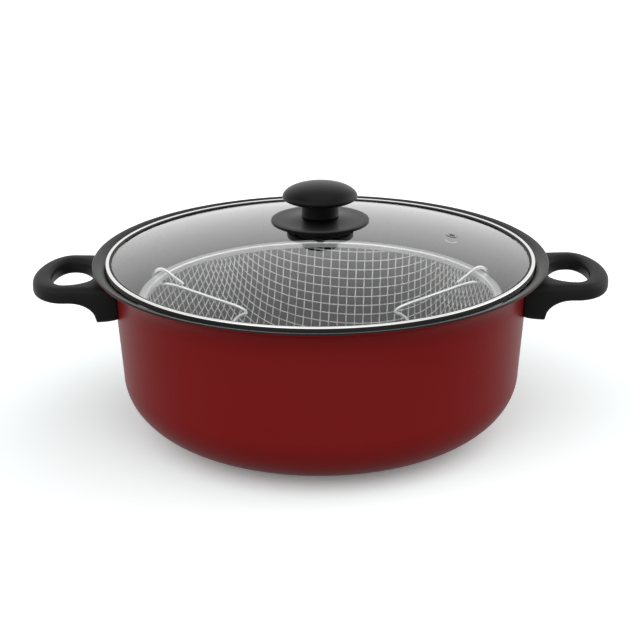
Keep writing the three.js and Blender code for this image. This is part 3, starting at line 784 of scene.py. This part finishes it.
def lid_knob():
    """Mushroom knob on a foot: the foot is the lower part of the neck and reaches a little way into the rest,
    where the neck swells into the cap on a quarter of an ellipse. The cap's top is half an ellipse. The
    pocket for the insert goes from the foot's floor up into the cap. Mirrors show the foot alone."""
    low, high = box_mm("lid_knob")
    bottom, top, radius = low[2], high[2], high[0]
    foot_top = bottom + NECK_FOOT
    widest = bottom + NECK_HEIGHT + CAP_UNDER
    pocket_top = bottom + INSERT_POCKET_HEIGHT
    under = ellipse_arc(NECK_RADIUS, widest, radius - NECK_RADIUS, CAP_UNDER, -QUARTER, 0,
                        CAP_UNDER_STEPS)
    crown = ellipse_arc(0, widest, radius, top - widest, 0, QUARTER, CROWN_STEPS)[1:]
    pocket = [
        [0, pocket_top],
        [INSERT_POCKET_RADIUS, pocket_top],
        [INSERT_POCKET_RADIUS, foot_top],
        [NECK_RADIUS, foot_top],
    ]
    cap = lathe("knob_cap", np.vstack([pocket, under, crown]), [KNOB_MOULDING_PAINTED_SHADE], around=KNOB_AROUND)
    cap.visible_glossy = False
    floor = bottom + NECK_FLOOR
    joint = foot_top + KNOB_OVERLAP
    profile = np.array([
        [SCREW_HOLE, bottom],
        [NECK_RADIUS - NECK_CHAMFER, bottom],
        [NECK_RADIUS, bottom + NECK_CHAMFER],
        [NECK_RADIUS, joint],
        [INSERT_POCKET_RADIUS, joint],
        [INSERT_POCKET_RADIUS, floor],
        [SCREW_HOLE, floor],
    ])
    foot = lathe("knob_foot", profile, [KNOB_MOULDING_PAINTED_SHADE], around=KNOB_AROUND)
    for piece in (cap, foot):
        dress(piece, "lid", "moulding", "lid_knob")


# Basket
RIM_LOW, RIM_HIGH = box_mm("basket_rim")
BASKET_RADIUS = RIM_HIGH[0]
BASKET_TOP = RIM_HIGH[2]
RIM_BOTTOM = RIM_LOW[2]
RIM_MIDDLE = BASKET_RADIUS - RIM_BAND_WIDTH / 2
MESH_LOW, MESH_HIGH = box_mm("basket_mesh")


def rim_channel():
    """Steel channel, open downwards, that clamps the net's edge. Its crown is rounded."""
    inner = BASKET_RADIUS - RIM_BAND_WIDTH
    corners = [
        [inner, RIM_BOTTOM],
        [inner + RIM_SHEET, RIM_BOTTOM],
        [inner + RIM_SHEET, BASKET_TOP - RIM_SHEET],
        [BASKET_RADIUS - RIM_SHEET, BASKET_TOP - RIM_SHEET],
        [BASKET_RADIUS - RIM_SHEET, RIM_BOTTOM],
        [BASKET_RADIUS, RIM_BOTTOM],
        [BASKET_RADIUS, BASKET_TOP],
        [inner, BASKET_TOP],
    ]
    profile = eased(corners, [0.2, 0.2, 0.2, 0.2, 0.2, 0.2, 1.6, 1.6])
    return dress(lathe("rim_channel", profile, [RIM_STEEL]), "basket", "steel", "basket_rim")


def bowl_meridian():
    """Radius and height of the net's middle surface along its meridian, with the arc length from the pole:
    a flat floor, a corner that is a quarter of an ellipse, and a straight wall up into the rim."""
    floor = MESH_LOW[2] + MESH_THICKNESS / 2
    reach = MESH_FOOT_RADIUS - MESH_FLOOR_RADIUS - MESH_THICKNESS / 2
    rise = MESH_CORNER_HEIGHT - MESH_THICKNESS / 2
    corner = ellipse_arc(MESH_FLOOR_RADIUS, floor + rise, reach, rise, -QUARTER, 0, MERIDIAN_STEPS)
    wall = [[RIM_MIDDLE, RIM_BOTTOM], [RIM_MIDDLE, MESH_HIGH[2] - NET_WIRE]]
    meridian = np.vstack([[[0, floor]], corner, wall])
    arc = np.r_[0, np.cumsum(np.linalg.norm(np.diff(meridian, axis=0), axis=1))]
    return meridian[:, 0], meridian[:, 1], arc


def net_wires(name, crossing, phase):
    """One family of the woven net's wires, which lie NET_PITCH apart in the flat net before it is drawn.

    A point (u, v) of the flat net has the distance s and the direction f from its middle. Drawn into the
    bowl, it lies at the arc length s along the meridian, in the direction f plus the net's turn. Beyond the
    flat floor, e (s / r - 1) sin(4f) / 4 is added to that, where r is the bowl's radius there and e is
    NET_EASE. That keeps the openings nearly square along the two main directions and makes them diamonds
    between these. The wire swings to and fro across the bowl's surface by a cosine of the other family's
    spacing, which makes the weave."""
    radius, height, arc = bowl_meridian()
    length = arc[-1]
    count = int(length / NET_PITCH)
    offset = np.arange(-count, count + 1) * NET_PITCH
    half = np.sqrt(length ** 2 - offset ** 2)
    stations = 2 * np.ceil(half / (NET_PITCH / NET_STATIONS)).astype(int) + 1
    wire = np.repeat(np.arange(len(offset)), stations)
    first = np.repeat(np.cumsum(stations) - stations, stations)
    share = (np.arange(len(wire)) - first) / (stations[wire] - 1)
    along = half[wire] * (2 * share - 1)
    aside = offset[wire]

    def drawn(along):
        """Place and outward normal of the bowl where the flat net's point comes to lie."""
        u, v = (along, aside) if crossing else (aside, along)
        s = np.hypot(u, v)
        direction = np.arctan2(v, u)
        r = np.interp(s, arc, radius)
        spread = np.where(s > MESH_FLOOR_RADIUS, s / np.maximum(r, 1) - 1, 0)
        turn = NET_TURN + direction + NET_EASE * spread * np.sin(4 * direction) / 4
        before, after = s - SLOPE_STEP, s + SLOPE_STEP
        slope_r = np.interp(after, arc, radius) - np.interp(before, arc, radius)
        slope_z = np.interp(after, arc, height) - np.interp(before, arc, height)
        size = np.maximum(np.hypot(slope_r, slope_z), ROUND_OFF)
        place = np.column_stack([r * np.cos(turn), r * np.sin(turn), np.interp(s, arc, height)])
        out = slope_z / size
        normal = np.column_stack([out * np.cos(turn), out * np.sin(turn), -slope_r / size])
        return place, normal

    place, normal = drawn(along)
    tangent = drawn(along + TANGENT_STEP)[0] - drawn(along - TANGENT_STEP)[0]
    tangent /= np.linalg.norm(tangent, axis=1, keepdims=True)
    swing = NET_CRIMP * np.cos(math.pi * (along / NET_PITCH + wire + phase))
    path = place + swing[:, None] * normal
    net = swept(name, path, normal, tangent, NET_WIRE, NET_SIDES, [WIRE], wire)
    return dress(net, "basket", "wire", "basket_mesh")


def smooth_route(points, steps):
    """Centripetal Catmull-Rom curve through the points: the knots lie apart by the square root of the
    distance, and each stretch blends the lines through four points in turn."""
    points = np.vstack([2 * points[0] - points[1], points, 2 * points[-1] - points[-2]])
    knots = np.r_[0, np.cumsum(np.sqrt(np.linalg.norm(np.diff(points, axis=0), axis=1)))]
    p = [points[i:len(points) - 3 + i, None] for i in range(4)]
    k = [knots[i:len(knots) - 3 + i, None, None] for i in range(4)]
    t = k[1] + (k[2] - k[1]) * np.linspace(0, 1, steps, endpoint=False)[None, :, None]

    def blend(a, b, start, end):
        """The line from a at the knot start to b at the knot end."""
        return ((end - t) * a + (t - start) * b) / (end - start)

    low, middle, high = (blend(p[i], p[i + 1], k[i], k[i + 1]) for i in range(3))
    curve = blend(blend(low, middle, k[0], k[2]), blend(middle, high, k[1], k[3]), k[1], k[2])
    return np.vstack([curve.reshape(-1, 3), points[-2]])


def bail_points():
    """Points of a bail's wire, which lies along +X from the rim: a straight finger, a hook round the rim, a
    bend, a leg that falls, a rounded corner and half of a hollow grip, and then the same mirrored."""
    start = QUARTER - HOOK_FINGER_SLOPE
    end = np.array([math.cos(start), math.sin(start)])
    back = np.array([1, 0.6, 0.25]) * HOOK_FINGER
    finger = np.column_stack([HOOK_RADIUS * end[0] + back * end[1], HOOK_RADIUS * end[1] - back * end[0]])
    hook = ellipse_arc(0, 0, HOOK_RADIUS, HOOK_RADIUS, start, 3 * QUARTER, HOOK_STEPS)
    bend = [[0.6 * LEG_START, -HOOK_RADIUS]]
    fallen = np.array([math.cos(LEG_FALL), -math.sin(LEG_FALL)])
    leg_foot = np.array([LEG_START, -HOOK_RADIUS])
    leg = leg_foot + np.outer(np.array([0.08, 0.35, 0.65, 1]) * (LEG_LENGTH - BAIL_CORNER), fallen)
    straight = np.vstack([finger, hook, bend, leg])
    side = np.column_stack([straight[:, 0], np.full(len(straight), BAIL_HALF_WIDTH), straight[:, 1]])
    inset = BAIL_CORNER * (1 - math.sqrt(0.5))
    share = np.linspace(1, 0, 5)
    distance = np.r_[LEG_LENGTH - inset, LEG_LENGTH - GRIP_HOLLOW * (1 - share ** 2)]
    aside = np.r_[BAIL_HALF_WIDTH - inset, (BAIL_HALF_WIDTH - BAIL_CORNER) * share]
    grip_line = leg_foot + np.outer(distance, fallen)
    grip = np.column_stack([grip_line[:, 0], aside, grip_line[:, 1]])
    half = np.vstack([side, grip])
    return np.vstack([half, half[-2::-1] * [1, -1, 1]])


def bail(side):
    """The wire follows its route. On the hooks and legs the ring's first axis is Y, and on the grip it is
    square to the wire in the plane of the legs, which is Y again where the two meet."""
    path = smooth_route(bail_points(), BAIL_STEPS)
    tangent = np.gradient(path, axis=0)
    tangent /= np.linalg.norm(tangent, axis=1, keepdims=True)
    plane = np.array([math.sin(LEG_FALL), 0, math.cos(LEG_FALL)])
    on_leg = (np.abs(path[:, 1]) > BAIL_HALF_WIDTH - OFF_LEG)[:, None]
    sideways = np.cross(plane, tangent)
    first_axis = np.where(on_leg, np.array([0, 1.0, 0]) * np.sign(path[:, 1:2]), sideways)
    hook_x = math.sqrt(RIM_MIDDLE ** 2 - BAIL_HALF_WIDTH ** 2)
    mirror = SIDES[side]
    away = np.array([-mirror, -mirror, 1])
    origin = np.array([mirror * hook_x, 0, (BASKET_TOP + RIM_BOTTOM) / 2])
    wire = swept(f"wire_handle_{side}", origin + path * away, first_axis * away, tangent * away,
                 BAIL_WIRE, BAIL_SIDES, [WIRE])
    return dress(wire, f"bail_{side}", "wire", f"bail_{side}")


# Pieces of the frame that keep their own shape
def finish_kept_nodes():
    """Gives the small fixings of the frame their finishes. Mirrors don't show them."""
    finishes = {
        "knob_insert": BRASS,
        "knob_seal_upper": SILICONE_AND_PAINTED_SHADE,
        "knob_seal_lower": SILICONE_AND_PAINTED_SHADE,
        "knob_washer": PLAIN_STEEL,
        "knob_screw": PLAIN_STEEL,
    }
    for side in SIDES:
        for kind in ("handle_bracket", "handle_washer", "handle_screw"):
            finishes[f"{kind}_{side}"] = PLAIN_STEEL
    for node, material in finishes.items():
        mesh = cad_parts[node].data
        mesh.materials.clear()
        mesh.materials.append(material)
        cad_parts[node].visible_glossy = False


# Stage, light and camera
SOFT_LIGHTS = (
    # azimuth from the camera's side to the right and elevation, in degrees, strength, sharpness
    (0, 50, 1.15, 4),
    (-50, 15, 1.45, 4),
    (40, 15, 0.8, 4),
    (110, 15, 2.2, 4),
    (-110, 15, 1.05, 4),
)
DIM_DOME = 0.05

# A direction's forward share between which the backdrop comes in, and its upward shares between which the
# backdrop grows dimmer and the light overhead begins, with their levels
BACKDROP_TURN = (-0.3, 0.3)
BACKDROP_HIGH = 0.7
BACKDROP_FADE = (0.35, 0.75)
OVERHEAD_LEVEL = 1.3
OVERHEAD_TURN = (0.8, 0.92)

# The floor's colours, and the distances in metres between which they change
FLOOR_MATT = (0.5, 0.5, 0.5, 1)
FLOOR_NEAR = (1.13, 1.21, 1.21)
FLOOR_FAR = (1.27, 1.27, 1.27)
FLOOR_CHANGE = (0.14, 0.5)
FLOOR_GLOW = 0.09
FLOOR_MIRRORED = (0.08, 1.0)
FLOOR_MIRRORED_TURN = (-0.18, 0.2)
FLOOR_HALF_WIDTH = 6000.0

# The camera's lens in millimetres, its place in metres and its turns
LENS = 108.75
SENSOR_WIDTH = 36.0
FARTHEST_SEEN = 50.0
CAMERA_PLACE = (0, -1.2413, 0.5142)
CAMERA_TILT = math.radians(90 - 19.503)
CAMERA_ROLL = math.radians(-0.36)
CAMERA_YAW = math.radians(0.0234)


def make_floor():
    """Plain pale floor. Seen straight or through glass it is paler than it lights the pot, with a little
    light of its own, so that it is white away from the pot and keeps the pot's shadow. The faint green and
    blue of its colour near the pot evens out the red that the enamel throws on it. What mirrors shows it
    white behind the pot and dark in front, where a studio's floor lies in the dark."""
    material, tree, where = new_material("pale_floor")
    path = add(tree, "LightPath").outputs
    distance = add(tree, "VectorMath", {0: where}, operation="LENGTH").outputs["Value"]
    away = ranged(tree, distance, 0.0, 1.0, *FLOOR_CHANGE)
    matt = add(tree, "BsdfDiffuse", {"Color": FLOOR_MATT})
    pale = add(tree, "BsdfDiffuse", {"Color": tinted(tree, away, FLOOR_NEAR, FLOOR_FAR)})
    glow = add(tree, "Emission", {"Strength": FLOOR_GLOW})
    shown = add(tree, "AddShader", {0: pale.outputs[0], 1: glow.outputs[0]})
    depth = add(tree, "SeparateXYZ", {0: where}).outputs["Y"]
    mirrored = ranged(tree, depth, *FLOOR_MIRRORED, *FLOOR_MIRRORED_TURN)
    image = add(tree, "Emission", {"Strength": mirrored})
    straight = calculated(tree, "MAXIMUM", path["Is Camera Ray"], path["Is Transmission Ray"])
    plain = add(tree, "MixShader", {0: straight, 1: matt.outputs[0], 2: shown.outputs[0]})
    surface = add(tree, "MixShader", {0: path["Is Glossy Ray"], 1: plain.outputs[0], 2: image.outputs[0]})
    surfaced(material, surface)
    corners = FLOOR_HALF_WIDTH * np.array([[-1, -1, 0], [1, -1, 0], [1, 1, 0], [-1, 1, 0]])
    floor = make_piece("floor", corners, np.array([[0, 1, 2, 3]]), [material])


def soft_light(tree, direction, azimuth, elevation, strength, sharpness):
    """Light about one direction: strength times a power of the cosine of the angle away from it."""
    azimuth, elevation = math.radians(azimuth), math.radians(elevation)
    centre = (math.sin(azimuth) * math.cos(elevation), -math.cos(azimuth) * math.cos(elevation),
              math.sin(elevation))
    near = add(tree, "VectorMath", {0: direction, 1: centre}, operation="DOT_PRODUCT").outputs["Value"]
    near = calculated(tree, "MAXIMUM", near, 0.0)
    return calculated(tree, "MULTIPLY", calculated(tree, "POWER", near, sharpness), strength)


def make_world():
    """Plain studio: a dim dome with soft lights round the pot. The backdrop behind the pot is white for the
    camera and in what mirrors or lets through. What mirrors shows it a little dimmer higher up, and a
    white light overhead."""
    world = bpy.data.worlds.new("studio")
    bpy.context.scene.world = world
    world.use_nodes = True
    tree = world.node_tree
    tree.nodes.clear()
    direction = add(tree, "TexCoord").outputs["Generated"]
    matt = calculated(tree, "ADD", *(soft_light(tree, direction, *light) for light in SOFT_LIGHTS), DIM_DOME)
    part = add(tree, "SeparateXYZ", {0: direction}).outputs
    behind = ranged(tree, part["Y"], 0.0, 1.0, *BACKDROP_TURN)
    fading = ranged(tree, part["Z"], 1.0, BACKDROP_HIGH, *BACKDROP_FADE)
    backdrop = calculated(tree, "MULTIPLY", behind, fading)
    overhead = ranged(tree, part["Z"], 0.0, OVERHEAD_LEVEL, *OVERHEAD_TURN)
    mirrored = calculated(tree, "MAXIMUM", matt, backdrop, overhead)
    path = add(tree, "LightPath").outputs
    level = add(tree, "Mix", {"Factor": path["Is Glossy Ray"], "A": matt, "B": mirrored}, data_type="FLOAT")
    straight = calculated(tree, "MAXIMUM", path["Is Camera Ray"], path["Is Transmission Ray"])
    level = add(tree, "Mix", {"Factor": straight, "A": level.outputs["Result"], "B": 1.0}, data_type="FLOAT")
    sky = add(tree, "Background", {"Color": (1, 1, 1, 1), "Strength": level.outputs["Result"]})
    add(tree, "OutputWorld", {"Surface": sky.outputs[0]})


def make_camera():
    """Camera at the photograph's height and distance, tilted down and very slightly rolled."""
    camera = bpy.data.cameras.new("camera")
    camera.lens = LENS
    camera.sensor_width = SENSOR_WIDTH
    camera.clip_end = FARTHEST_SEEN
    holder = bpy.data.objects.new("camera", camera)
    pitch = Matrix.Rotation(CAMERA_TILT, 4, "X")
    turn = Matrix.Rotation(CAMERA_YAW, 4, "Z") @ pitch @ Matrix.Rotation(CAMERA_ROLL, 4, "Z")
    holder.matrix_world = Matrix.Translation(CAMERA_PLACE) @ turn
    bpy.context.scene.collection.objects.link(holder)
    bpy.context.scene.camera = holder


make_camera()
make_world()
make_floor()

pot_shell()
for handle_side in SIDES:
    side_handle(handle_side)
    bail(handle_side)
glass_dome()
lid_band()
black_edge_bead()
vent_eyelet()
knob_skirt()
lid_knob()
rim_channel()
net_wires("net_wires_across", True, 0)
net_wires("net_wires_along", False, 1)
finish_kept_nodes()

bpy.context.scene.view_settings.view_transform = "Standard"
